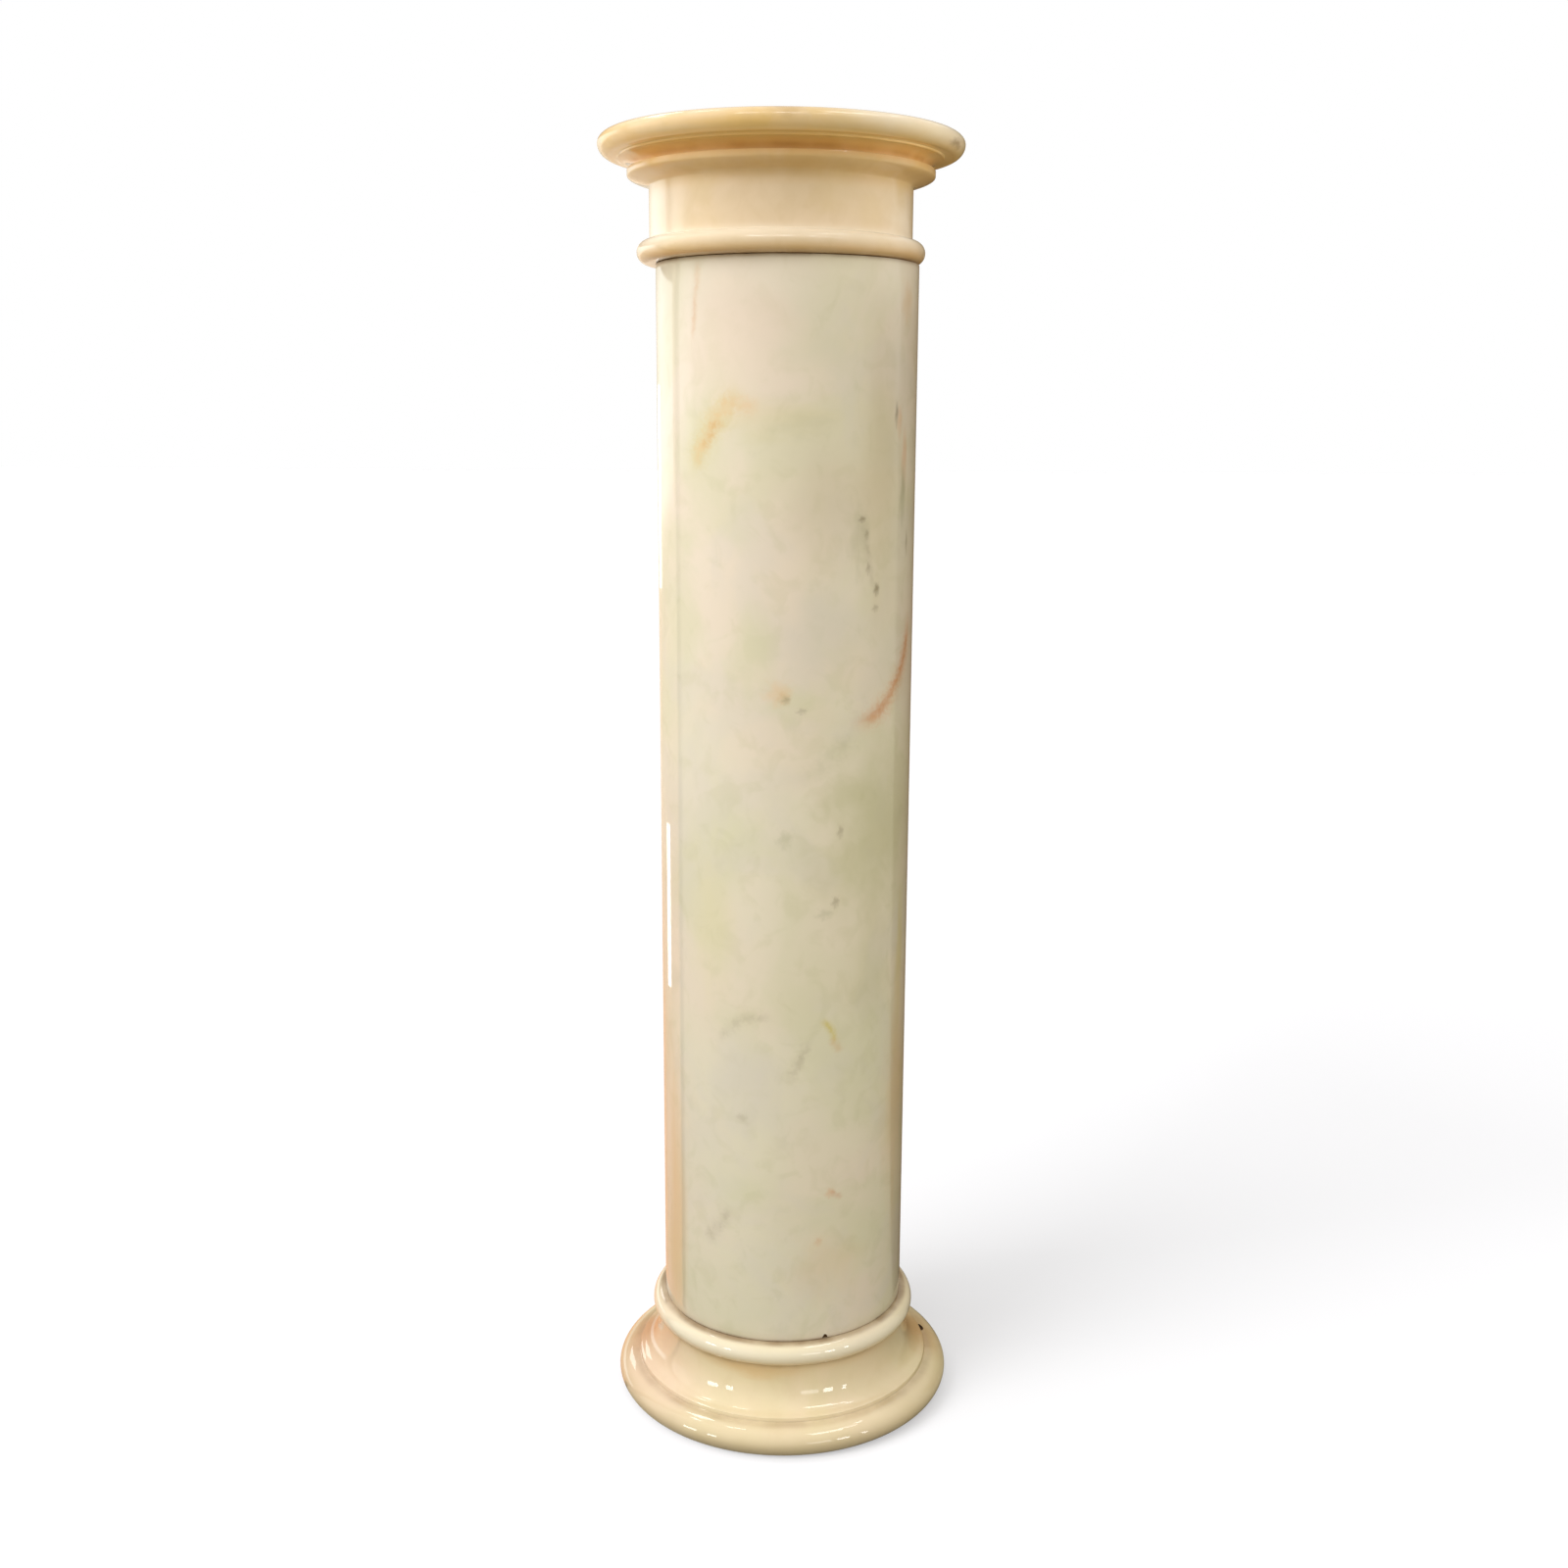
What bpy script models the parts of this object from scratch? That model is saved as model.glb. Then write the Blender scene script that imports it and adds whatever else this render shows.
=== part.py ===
"""Polished marble pedestal column, about one metre tall.

Three turned pieces stand on one another by their own weight: a moulded base, a plain round shaft and
a moulded capital with a flat top. Metres, +Z up, origin at the centre of the base's underside.
"""

import math

import bpy

OBJECT_NAME = "Marble column"

# Pieces that rest on each other
RESTING_GAP = 0.0003

# Shaft
SHAFT_DIAMETER = 0.200
SHAFT_LENGTH = 0.839
SHAFT_ARRIS = 0.0008

# Base, from its top down; a projection is how far a moulding stands out past the shaft
BASE_ROLL_HEIGHT = 0.019
BASE_ROLL_PROJECTION = 0.0104
BASE_LISTEL_HEIGHT = 0.001
BASE_LISTEL_PROJECTION = 0.003
BASE_COVE_HEIGHT = 0.0340
BASE_LIP_HEIGHT = 0.0035
BASE_LIP_PROJECTION = 0.0222
FOOT_ROLL_UPPER_HEIGHT = 0.0118
FOOT_ROLL_LOWER_HEIGHT = 0.0122
FOOT_ROLL_PROJECTION = 0.0400
FOOT_ROLL_LOWER_DEPTH = 0.0145

# Capital, from its underside up
BEAD_HEIGHT = 0.0164
BEAD_PROJECTION = 0.0092
NECK_HEIGHT = 0.0386
NECK_SET_BACK = 0.0005
OVOLO_HEIGHT = 0.0122
OVOLO_FACE_HEIGHT = 0.0040
OVOLO_PROJECTION = 0.0158
QUIRK_HEIGHT = 0.0078
QUIRK_PROJECTION = 0.0112
LIP_HEIGHT = 0.0014
LIP_PROJECTION = 0.0225
SLAB_LOWER_HEIGHT = 0.0088
SLAB_UPPER_HEIGHT = 0.0066
SLAB_PROJECTION = 0.0375
SLAB_EDGE_DEPTH = 0.0090

# The capital sits a little to one side of the shaft's axis
CAPITAL_OFFSET = -0.005

# Old chips: one on the base's lip, one on the shaft's lower edge
FOOT_CHIP_ANGLE = 12.0
FOOT_CHIP_LENGTH = 0.011
FOOT_CHIP_WIDTH = 0.006
FOOT_CHIP_DEPTH = 0.003
SHAFT_CHIP_ANGLE = -70.0
SHAFT_CHIP_WIDTH = 0.0045
SHAFT_CHIP_HEIGHT = 0.0035
SHAFT_CHIP_DEPTH = 0.0018

# Fineness of the turned surfaces
TURN_STEPS = 64
ROLL_STEPS = 5
CURVE_STEPS = 5
EDGE_STEPS = 3
MERGE_DISTANCE = 0.00001

SHAFT_RADIUS = SHAFT_DIAMETER / 2
BASE_HEIGHT = (
    BASE_ROLL_HEIGHT
    + BASE_LISTEL_HEIGHT
    + BASE_COVE_HEIGHT
    + BASE_LIP_HEIGHT
    + FOOT_ROLL_UPPER_HEIGHT
    + FOOT_ROLL_LOWER_HEIGHT
)
SHAFT_FOOT_Z = BASE_HEIGHT + RESTING_GAP
CAPITAL_FOOT_Z = SHAFT_FOOT_Z + SHAFT_LENGTH + RESTING_GAP


def clear_scene():
    for obj in list(bpy.data.objects):
        bpy.data.objects.remove(obj, do_unlink=True)


def new_collection(name):
    collection = bpy.data.collections.new(name)
    bpy.context.scene.collection.children.link(collection)
    return collection


def marble(name, colour, roughness):
    material = bpy.data.materials.new(name)
    material.use_nodes = True
    shader = material.node_tree.nodes["Principled BSDF"]
    shader.inputs["Base Color"].default_value = (*colour, 1.0)
    shader.inputs["Roughness"].default_value = roughness
    shader.inputs["Metallic"].default_value = 0.0
    material.diffuse_color = (*colour, 1.0)
    return material


def arc(centre, radii, start, end, steps):
    """Points along an ellipse's arc in the profile plane, angles in degrees from the outward direction."""
    points = []
    for step in range(steps + 1):
        angle = math.radians(start + (end - start) * step / steps)
        points.append((centre[0] + radii[0] * math.cos(angle), centre[1] + radii[1] * math.sin(angle)))
    return points


def curve(start, start_handle, end_handle, end, steps):
    """Points along a cubic curve in the profile plane."""
    points = []
    for step in range(steps + 1):
        t = step / steps
        weights = ((1 - t) ** 3, 3 * t * (1 - t) ** 2, 3 * t * t * (1 - t), t**3)
        corners = (start, start_handle, end_handle, end)
        points.append(
            (
                sum(weight * corner[0] for weight, corner in zip(weights, corners)),
                sum(weight * corner[1] for weight, corner in zip(weights, corners)),
            )
        )
    return points


def turned_piece(name, profile, material, collection, location):
    """Turns a profile, listed from the top of the axis round the outside to its foot, about +Z."""
    mesh = bpy.data.meshes.new(name)
    vertices = [(radius, 0.0, height) for radius, height in profile]
    edges = [(index, index + 1) for index in range(len(vertices) - 1)]
    mesh.from_pydata(vertices, edges, [])
    mesh.materials.append(material)
    piece = bpy.data.objects.new(name, mesh)
    piece.location = location
    collection.objects.link(piece)

    screw = piece.modifiers.new("Turn", "SCREW")
    screw.axis = "Z"
    screw.steps = TURN_STEPS
    screw.render_steps = TURN_STEPS
    screw.use_merge_vertices = True
    screw.merge_threshold = MERGE_DISTANCE
    screw.use_smooth_shade = True
    return piece


def base_profile():
    roll_half = BASE_ROLL_HEIGHT / 2
    roll_centre = SHAFT_RADIUS + BASE_ROLL_PROJECTION - roll_half
    listel_top = BASE_HEIGHT - BASE_ROLL_HEIGHT
    listel_radius = SHAFT_RADIUS + BASE_LISTEL_PROJECTION
    cove_top = listel_top - BASE_LISTEL_HEIGHT
    lip_top = cove_top - BASE_COVE_HEIGHT
    lip_radius = SHAFT_RADIUS + BASE_LIP_PROJECTION
    lip_foot = lip_top - BASE_LIP_HEIGHT
    foot_radius = SHAFT_RADIUS + FOOT_ROLL_PROJECTION
    cove_width = lip_radius - listel_radius

    profile = [(0.0, BASE_HEIGHT)]
    profile += arc((roll_centre, BASE_HEIGHT - roll_half), (roll_half, roll_half), 90, -90, 2 * ROLL_STEPS)
    profile.append((listel_radius, listel_top))
    profile += curve(
        (listel_radius, cove_top),
        (listel_radius, cove_top - 0.62 * BASE_COVE_HEIGHT),
        (listel_radius + 0.30 * cove_width, cove_top - 0.96 * BASE_COVE_HEIGHT),
        (lip_radius, lip_top),
        2 * CURVE_STEPS,
    )
    profile += arc(
        (lip_radius, lip_foot - FOOT_ROLL_UPPER_HEIGHT),
        (foot_radius - lip_radius, FOOT_ROLL_UPPER_HEIGHT),
        90,
        0,
        ROLL_STEPS,
    )
    profile += arc(
        (foot_radius - FOOT_ROLL_LOWER_DEPTH, FOOT_ROLL_LOWER_HEIGHT),
        (FOOT_ROLL_LOWER_DEPTH, FOOT_ROLL_LOWER_HEIGHT),
        0,
        -90,
        ROLL_STEPS,
    )[1:]
    profile.append((0.0, 0.0))
    return profile


def shaft_profile():
    return [
        (0.0, SHAFT_LENGTH),
        (SHAFT_RADIUS - SHAFT_ARRIS, SHAFT_LENGTH),
        (SHAFT_RADIUS, SHAFT_LENGTH - SHAFT_ARRIS),
        (SHAFT_RADIUS, SHAFT_ARRIS),
        (SHAFT_RADIUS - SHAFT_ARRIS, 0.0),
        (0.0, 0.0),
    ]


def capital_profile():
    bead_half = BEAD_HEIGHT / 2
    bead_centre = SHAFT_RADIUS + BEAD_PROJECTION - bead_half
    neck_radius = SHAFT_RADIUS - NECK_SET_BACK
    neck_top = BEAD_HEIGHT + NECK_HEIGHT
    ovolo_top = neck_top + OVOLO_HEIGHT
    ovolo_radius = SHAFT_RADIUS + OVOLO_PROJECTION
    ovolo_width = ovolo_radius - neck_radius
    ovolo_face_foot = ovolo_top - OVOLO_FACE_HEIGHT
    ovolo_fall = ovolo_face_foot - neck_top
    quirk_radius = SHAFT_RADIUS + QUIRK_PROJECTION
    lip_foot = ovolo_top + QUIRK_HEIGHT
    lip_radius = SHAFT_RADIUS + LIP_PROJECTION
    slab_foot = lip_foot + LIP_HEIGHT
    slab_centre = (SHAFT_RADIUS + SLAB_PROJECTION - SLAB_EDGE_DEPTH, slab_foot + SLAB_LOWER_HEIGHT)

    profile = [(0.0, slab_centre[1] + SLAB_UPPER_HEIGHT)]
    profile += arc(slab_centre, (SLAB_EDGE_DEPTH, SLAB_UPPER_HEIGHT), 90, 0, ROLL_STEPS)
    profile += arc(slab_centre, (SLAB_EDGE_DEPTH, SLAB_LOWER_HEIGHT), 0, -90, ROLL_STEPS)[1:]
    profile.append((lip_radius, slab_foot))
    profile += arc(
        (lip_radius, ovolo_top),
        (lip_radius - quirk_radius, QUIRK_HEIGHT),
        90,
        180,
        EDGE_STEPS,
    )
    profile.append((ovolo_radius, ovolo_top))
    profile += curve(
        (ovolo_radius, ovolo_face_foot),
        (ovolo_radius, ovolo_face_foot - 0.38 * ovolo_fall),
        (neck_radius + 0.14 * ovolo_width, neck_top + 0.48 * ovolo_fall),
        (neck_radius, neck_top),
        CURVE_STEPS + EDGE_STEPS,
    )
    profile.append((neck_radius, BEAD_HEIGHT))
    profile += arc((bead_centre, bead_half), (bead_half, bead_half), 90, -90, 2 * ROLL_STEPS)
    profile.append((0.0, 0.0))
    return profile


def chip_cutter(name, size, radius, angle, height, collection):
    """A small rough lump, centred where a piece of the surface has broken away."""
    bpy.ops.mesh.primitive_ico_sphere_add(subdivisions=1, radius=0.5)
    cutter = bpy.context.object
    cutter.name = name
    turn = math.radians(angle)
    cutter.location = (radius * math.cos(turn), radius * math.sin(turn), height)
    cutter.rotation_euler = (0.0, 0.0, turn)
    cutter.scale = size
    cutter.hide_render = True
    cutter.display_type = "WIRE"
    for owner in list(cutter.users_collection):
        owner.objects.unlink(cutter)
    collection.objects.link(cutter)
    return cutter


def cut(piece, cutter):
    boolean = piece.modifiers.new("Chip", "BOOLEAN")
    boolean.operation = "DIFFERENCE"
    boolean.solver = "EXACT"
    boolean.object = cutter


def build_base(collection, cutters):
    stone = marble("base marble", (0.80, 0.68, 0.50), 0.18)
    base = turned_piece("base", base_profile(), stone, collection, (0.0, 0.0, 0.0))
    chip = chip_cutter(
        "base chip",
        (FOOT_CHIP_WIDTH, FOOT_CHIP_LENGTH, 2 * FOOT_CHIP_DEPTH),
        SHAFT_RADIUS + BASE_LIP_PROJECTION + FOOT_CHIP_WIDTH / 4,
        FOOT_CHIP_ANGLE,
        FOOT_ROLL_LOWER_HEIGHT + FOOT_ROLL_UPPER_HEIGHT,
        cutters,
    )
    cut(base, chip)


def build_shaft(collection, cutters):
    stone = marble("shaft marble", (0.74, 0.67, 0.52), 0.15)
    shaft = turned_piece("shaft", shaft_profile(), stone, collection, (0.0, 0.0, SHAFT_FOOT_Z))
    chip = chip_cutter(
        "shaft chip",
        (2 * SHAFT_CHIP_DEPTH, SHAFT_CHIP_WIDTH, 2 * SHAFT_CHIP_HEIGHT),
        SHAFT_RADIUS,
        SHAFT_CHIP_ANGLE,
        SHAFT_FOOT_Z,
        cutters,
    )
    cut(shaft, chip)


def build_capital(collection):
    stone = marble("capital marble", (0.76, 0.58, 0.36), 0.2)
    turned_piece("capital", capital_profile(), stone, collection, (CAPITAL_OFFSET, 0.0, CAPITAL_FOOT_Z))


def main():
    clear_scene()
    column = new_collection(OBJECT_NAME)
    cutters = new_collection("Cutters")
    build_base(column, cutters)
    build_shaft(column, cutters)
    build_capital(column)


main()
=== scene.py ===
"""Dresses the marble pedestal column: three turned pieces of polished marble in a pale studio."""

import math

import bmesh
import bpy
from mathutils import Matrix, Vector, noise


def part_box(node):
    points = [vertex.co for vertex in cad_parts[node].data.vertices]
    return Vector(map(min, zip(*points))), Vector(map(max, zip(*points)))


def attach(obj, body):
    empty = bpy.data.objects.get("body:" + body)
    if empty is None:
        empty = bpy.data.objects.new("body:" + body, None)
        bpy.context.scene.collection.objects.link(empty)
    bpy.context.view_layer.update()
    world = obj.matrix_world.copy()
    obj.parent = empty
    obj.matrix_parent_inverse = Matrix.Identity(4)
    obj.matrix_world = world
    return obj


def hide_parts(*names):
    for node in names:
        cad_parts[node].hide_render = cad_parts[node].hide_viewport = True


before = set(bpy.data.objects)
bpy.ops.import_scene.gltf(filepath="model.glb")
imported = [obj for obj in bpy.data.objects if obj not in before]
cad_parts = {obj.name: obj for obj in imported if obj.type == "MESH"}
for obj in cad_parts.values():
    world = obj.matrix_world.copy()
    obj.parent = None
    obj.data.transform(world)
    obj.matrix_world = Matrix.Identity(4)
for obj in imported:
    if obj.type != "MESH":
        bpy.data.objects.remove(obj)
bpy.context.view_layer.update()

# Sizes read from the frame, in metres
BASE_LOW, BASE_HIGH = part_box("base")
SHAFT_LOW, SHAFT_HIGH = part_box("shaft")
CAPITAL_LOW, CAPITAL_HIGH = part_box("capital")
SHAFT_RADIUS = (SHAFT_HIGH[0] - SHAFT_LOW[0]) / 2
BASE_RADIUS = (BASE_HIGH[0] - BASE_LOW[0]) / 2
BASE_HEIGHT = BASE_HIGH[2]
SHAFT_FOOT = SHAFT_LOW[2]
SHAFT_HEAD = SHAFT_HIGH[2]
CAPITAL_FOOT = CAPITAL_LOW[2]
CAPITAL_TOP = CAPITAL_HIGH[2]
SLAB_RADIUS = (CAPITAL_HIGH[0] - CAPITAL_LOW[0]) / 2
CAPITAL_CENTRE = (CAPITAL_HIGH[0] + CAPITAL_LOW[0]) / 2

# Mouldings of the base, from its top down, as the solids have them
BASE_ROLL_HEIGHT = 0.019
BASE_ROLL_PROJECTION = 0.0104
BASE_LISTEL_HEIGHT = 0.001
BASE_LISTEL_PROJECTION = 0.003
BASE_COVE_HEIGHT = 0.0340
BASE_LIP_HEIGHT = 0.0035
BASE_LIP_PROJECTION = 0.0222
FOOT_ROLL_UPPER_HEIGHT = 0.0118
FOOT_ROLL_LOWER_DEPTH = 0.0145

# Mouldings of the capital, from its underside up
BEAD_HEIGHT = 0.0164
BEAD_PROJECTION = 0.0092
NECK_HEIGHT = 0.0386
NECK_SET_BACK = 0.0005
OVOLO_HEIGHT = 0.0122
OVOLO_FACE_HEIGHT = 0.0040
OVOLO_PROJECTION = 0.0158
QUIRK_HEIGHT = 0.0078
QUIRK_PROJECTION = 0.0112
LIP_HEIGHT = 0.0014
LIP_PROJECTION = 0.0225
SLAB_LOWER_HEIGHT = 0.0088
SLAB_EDGE_DEPTH = 0.0090

# Turning and edges
TURN_STEPS = 384
ROLL_STEPS = 12
CURVE_STEPS = 14
FLAT_RINGS = 4
SHAFT_RINGS = 24
EASED_EDGE = 0.0005
SHAFT_ARRIS = 0.0007
SHARP_ANGLE = math.radians(28)
SAME_PLACE = 0.000001

# Chips, with angles counted from the front of the column, positive to the right
FOOT_CHIP_ANGLE = 102.0
FOOT_CHIP_SIZE = (0.006, 0.011, 0.006)
SHAFT_CHIP_ANGLE = 20.0
SHAFT_CHIP_SIZE = (0.0036, 0.0045, 0.0070)
CHIP_ROUGHNESS = 0.16
CHIP_KNOBS = 2.0
CHIP_GRAIN = 5.0

# The shaft's lowest ring of faces, which keeps the chip's shading off the rest
NICKED_HEIGHT = 0.009


# Shapes


def arc(centre, radii, start, end, steps=ROLL_STEPS):
    """Points along an ellipse's arc in the profile plane, angles in degrees from straight out."""
    points = []
    for step in range(steps + 1):
        angle = math.radians(start + (end - start) * step / steps)
        points.append((centre[0] + radii[0] * math.cos(angle), centre[1] + radii[1] * math.sin(angle)))
    return points


def curve(start, start_handle, end_handle, end, steps=CURVE_STEPS):
    """Points along a cubic curve in the profile plane."""
    points = []
    for step in range(steps + 1):
        t = step / steps
        weights = ((1 - t) ** 3, 3 * t * (1 - t) ** 2, 3 * t * t * (1 - t), t**3)
        corners = (start, start_handle, end_handle, end)
        out = sum(weight * corner[0] for weight, corner in zip(weights, corners))
        up = sum(weight * corner[1] for weight, corner in zip(weights, corners))
        points.append((out, up))
    return points


def straight(start, end, steps):
    """Points after start, up to and with end."""
    return [
        (start[0] + (end[0] - start[0]) * step / steps, start[1] + (end[1] - start[1]) * step / steps)
        for step in range(1, steps + 1)
    ]


def base_profile():
    roll_half = BASE_ROLL_HEIGHT / 2
    roll_centre = SHAFT_RADIUS + BASE_ROLL_PROJECTION - roll_half
    listel_top = BASE_HEIGHT - BASE_ROLL_HEIGHT
    listel_radius = SHAFT_RADIUS + BASE_LISTEL_PROJECTION
    cove_top = listel_top - BASE_LISTEL_HEIGHT
    lip_top = cove_top - BASE_COVE_HEIGHT
    lip_radius = SHAFT_RADIUS + BASE_LIP_PROJECTION
    lip_foot = lip_top - BASE_LIP_HEIGHT
    foot_middle = lip_foot - FOOT_ROLL_UPPER_HEIGHT
    cove_width = lip_radius - listel_radius

    profile = [(0.0, BASE_HEIGHT)]
    profile += straight(profile[-1], (roll_centre, BASE_HEIGHT), FLAT_RINGS)
    roll_middle = (roll_centre, BASE_HEIGHT - roll_half)
    profile += arc(roll_middle, (roll_half, roll_half), 90, -90, 2 * ROLL_STEPS)[1:]
    profile.append((listel_radius, listel_top))
    profile += curve(
        (listel_radius, cove_top),
        (listel_radius, cove_top - 0.62 * BASE_COVE_HEIGHT),
        (listel_radius + 0.30 * cove_width, cove_top - 0.96 * BASE_COVE_HEIGHT),
        (lip_radius, lip_top),
    )
    profile += arc((lip_radius, foot_middle), (BASE_RADIUS - lip_radius, FOOT_ROLL_UPPER_HEIGHT), 90, 0)
    sole_radius = BASE_RADIUS - FOOT_ROLL_LOWER_DEPTH
    profile += arc((sole_radius, foot_middle), (FOOT_ROLL_LOWER_DEPTH, foot_middle), 0, -90)[1:]
    profile += straight(profile[-1], (0.0, 0.0), FLAT_RINGS)
    return profile


def shaft_profile():
    profile = [(0.0, SHAFT_HEAD)]
    profile += straight(profile[-1], (SHAFT_RADIUS, SHAFT_HEAD), FLAT_RINGS)
    profile += straight(profile[-1], (SHAFT_RADIUS, SHAFT_FOOT + NICKED_HEIGHT), SHAFT_RINGS)
    profile.append((SHAFT_RADIUS, SHAFT_FOOT))
    profile += straight(profile[-1], (0.0, SHAFT_FOOT), FLAT_RINGS)
    return profile


def capital_profile():
    bead_half = BEAD_HEIGHT / 2
    bead_centre = SHAFT_RADIUS + BEAD_PROJECTION - bead_half
    neck_radius = SHAFT_RADIUS - NECK_SET_BACK
    neck_foot = CAPITAL_FOOT + BEAD_HEIGHT
    neck_top = neck_foot + NECK_HEIGHT
    ovolo_top = neck_top + OVOLO_HEIGHT
    ovolo_radius = SHAFT_RADIUS + OVOLO_PROJECTION
    ovolo_width = ovolo_radius - neck_radius
    ovolo_face_foot = ovolo_top - OVOLO_FACE_HEIGHT
    ovolo_fall = ovolo_face_foot - neck_top
    quirk_radius = SHAFT_RADIUS + QUIRK_PROJECTION
    lip_foot = ovolo_top + QUIRK_HEIGHT
    lip_radius = SHAFT_RADIUS + LIP_PROJECTION
    slab_foot = lip_foot + LIP_HEIGHT
    slab_centre = (SLAB_RADIUS - SLAB_EDGE_DEPTH, slab_foot + SLAB_LOWER_HEIGHT)

    profile = [(0.0, CAPITAL_TOP)]
    profile += straight(profile[-1], (slab_centre[0], CAPITAL_TOP), FLAT_RINGS)
    profile += arc(slab_centre, (SLAB_EDGE_DEPTH, CAPITAL_TOP - slab_centre[1]), 90, 0)[1:]
    profile += arc(slab_centre, (SLAB_EDGE_DEPTH, SLAB_LOWER_HEIGHT), 0, -90)[1:]
    profile.append((lip_radius, slab_foot))
    profile += arc((lip_radius, ovolo_top), (lip_radius - quirk_radius, QUIRK_HEIGHT), 90, 180)
    profile.append((ovolo_radius, ovolo_top))
    profile += curve(
        (ovolo_radius, ovolo_face_foot),
        (ovolo_radius, ovolo_face_foot - 0.38 * ovolo_fall),
        (neck_radius + 0.14 * ovolo_width, neck_top + 0.48 * ovolo_fall),
        (neck_radius, neck_top),
    )
    fillet = bead_centre - neck_radius
    profile += straight(profile[-1], (neck_radius, neck_foot + fillet), FLAT_RINGS)
    profile += arc((neck_radius + fillet, neck_foot + fillet), (fillet, fillet), 180, 270)[1:]
    bead_middle = (bead_centre, CAPITAL_FOOT + bead_half)
    profile += arc(bead_middle, (bead_half, bead_half), 90, -90, 2 * ROLL_STEPS)[1:]
    profile += straight(profile[-1], (0.0, CAPITAL_FOOT), FLAT_RINGS)
    return profile


def ease_edges(form, width):
    """Rounds the arrises that a polisher's pad takes off."""
    shared = [edge for edge in form.edges if len(edge.link_faces) == 2]
    sharp = [edge for edge in shared if edge.calc_face_angle(0.0) > SHARP_ANGLE]
    bmesh.ops.bevel(
        form,
        geom=sharp,
        affect="EDGES",
        offset=width,
        offset_type="OFFSET",
        segments=2,
        profile=0.5,
        material=-1,
        clamp_overlap=True,
    )


def turned_piece(name, profile, centre, edge_width):
    """Spins a profile about the upright line through centre and eases its edges."""
    form = bmesh.new()
    corners = [form.verts.new((radius, 0.0, height)) for radius, height in profile]
    edges = [form.edges.new(pair) for pair in zip(corners, corners[1:])]
    bmesh.ops.spin(
        form,
        geom=corners + edges,
        cent=(0.0, 0.0, 0.0),
        axis=(0.0, 0.0, 1.0),
        angle=2 * math.pi,
        steps=TURN_STEPS,
        use_merge=True,
        use_duplicate=False,
    )
    bmesh.ops.remove_doubles(form, verts=form.verts, dist=SAME_PLACE)
    bmesh.ops.recalc_face_normals(form, faces=form.faces)
    ease_edges(form, edge_width)
    bmesh.ops.translate(form, verts=form.verts, vec=(centre, 0.0, 0.0))
    mesh = bpy.data.meshes.new(name)
    form.to_mesh(mesh)
    form.free()
    piece = bpy.data.objects.new(name, mesh)
    bpy.context.scene.collection.objects.link(piece)
    return piece


def chip_lump(name, size, place, turn, material):
    """A rough lump the shape of the splinter that broke away."""
    form = bmesh.new()
    bmesh.ops.create_icosphere(form, subdivisions=3, radius=0.5)
    for corner in form.verts:
        grain = noise.noise(corner.co * CHIP_GRAIN)
        knobs = noise.noise(corner.co * CHIP_KNOBS)
        corner.co *= 1.0 + CHIP_ROUGHNESS * grain + CHIP_ROUGHNESS * knobs
    bmesh.ops.scale(form, verts=form.verts, vec=size)
    turned = Matrix.Rotation(turn, 3, "Z")
    bmesh.ops.rotate(form, verts=form.verts, cent=(0.0, 0.0, 0.0), matrix=turned)
    bmesh.ops.translate(form, verts=form.verts, vec=place)
    mesh = bpy.data.meshes.new(name)
    form.to_mesh(mesh)
    form.free()
    mesh.materials.append(material)
    lump = bpy.data.objects.new(name, mesh)
    bpy.context.scene.collection.objects.link(lump)
    return lump


def around(radius, angle, height):
    """A point on the column, its angle in degrees from the front, positive to the right."""
    turn = math.radians(angle)
    return Vector((radius * math.sin(turn), -radius * math.cos(turn), height))


def chip(piece, lump):
    """Breaks the lump out of the piece and leaves its rough surface behind."""
    breaking = piece.modifiers.new("Chip", "BOOLEAN")
    breaking.operation = "DIFFERENCE"
    breaking.solver = "EXACT"
    breaking.material_mode = "TRANSFER"
    breaking.object = lump
    bpy.context.view_layer.update()
    depsgraph = bpy.context.evaluated_depsgraph_get()
    chipped = bpy.data.meshes.new_from_object(piece.evaluated_get(depsgraph))
    chipped.name = piece.data.name
    piece.modifiers.clear()
    piece.data = chipped
    bpy.data.objects.remove(lump, do_unlink=True)


def polish(piece):
    piece.data.shade_smooth()
    piece.data.set_sharp_from_angle(angle=SHARP_ANGLE)


# Shader parts that the marbles share

# Polished calcite bends light a little more than glass does
STONE_IOR = 1.56
BUMP_DISTANCE = 0.001

# Noise scales, in cells per metre, and how far the noise pushes a vein's line and edge
CLOUD_DISTORTION = 0.6
VEIN_BENDS = 55.0
VEIN_BEND_DEPTH = 0.006
VEIN_FRAYS = 330.0
VEIN_FRAY_DEPTH = 1.7
VEIN_GAPS = 120.0
BLOTCH_EDGE = 1.7
GRIME_AND_LIGHT_PATCHES = 38.0
WIPED_PATCHES = 14.0
POLISH_WAVES = 26.0
POLISH_GRAINS = 700.0
GRAIN_SHARE = 0.01


def srgb(red, green, blue):
    """A colour given as it looks on a screen, 0 to 255, turned into the renderer's light values."""
    values = []
    for value in (red, green, blue):
        share = value / 255
        values.append(share / 12.92 if share <= 0.04045 else ((share + 0.055) / 1.055) ** 2.4)
    return (*values, 1.0)


def new_group(name, inputs, outputs):
    group = bpy.data.node_groups.new(name, "ShaderNodeTree")
    for label, kind, value in inputs:
        socket = group.interface.new_socket(label, in_out="INPUT", socket_type=kind)
        if value is not None:
            socket.default_value = value
    for label, kind in outputs:
        group.interface.new_socket(label, in_out="OUTPUT", socket_type=kind)
    return group, group.nodes.new("NodeGroupInput"), group.nodes.new("NodeGroupOutput")


def put(tree, kind, **settings):
    """A new node with its settings."""
    node = tree.nodes.new(kind)
    for label, value in settings.items():
        setattr(node, label, value)
    return node


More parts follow.
